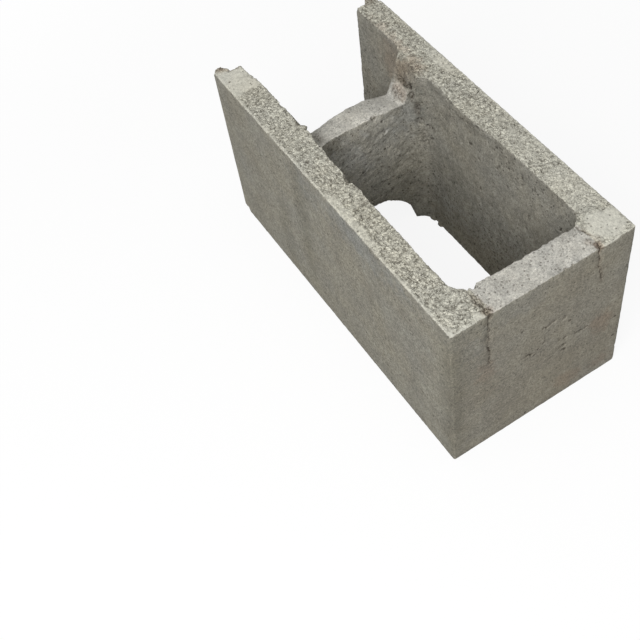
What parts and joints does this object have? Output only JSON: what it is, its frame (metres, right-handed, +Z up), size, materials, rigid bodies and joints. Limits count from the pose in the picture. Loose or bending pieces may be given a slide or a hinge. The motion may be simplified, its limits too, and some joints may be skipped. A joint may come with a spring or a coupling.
{
  "type": "concrete formwork block",
  "caption": "Hollow concrete formwork block with one closed end, a saddled and arched cross web, an open bay and tongues on the free wall ends.",
  "frame": {"origin": "middle of the bed, under the centre of the bounding box", "axes": "+Z up from the bed, +Y along the walls from the closed end to the tongues, +X across the walls"},
  "size_m": [0.24, 0.5, 0.25],
  "materials": {
    "concrete": "dense grey concrete, smooth on the outer faces and rough with open aggregate on the tops"
  },
  "bodies": {
    "root": {"block": "concrete"}
  },
  "joints": []
}
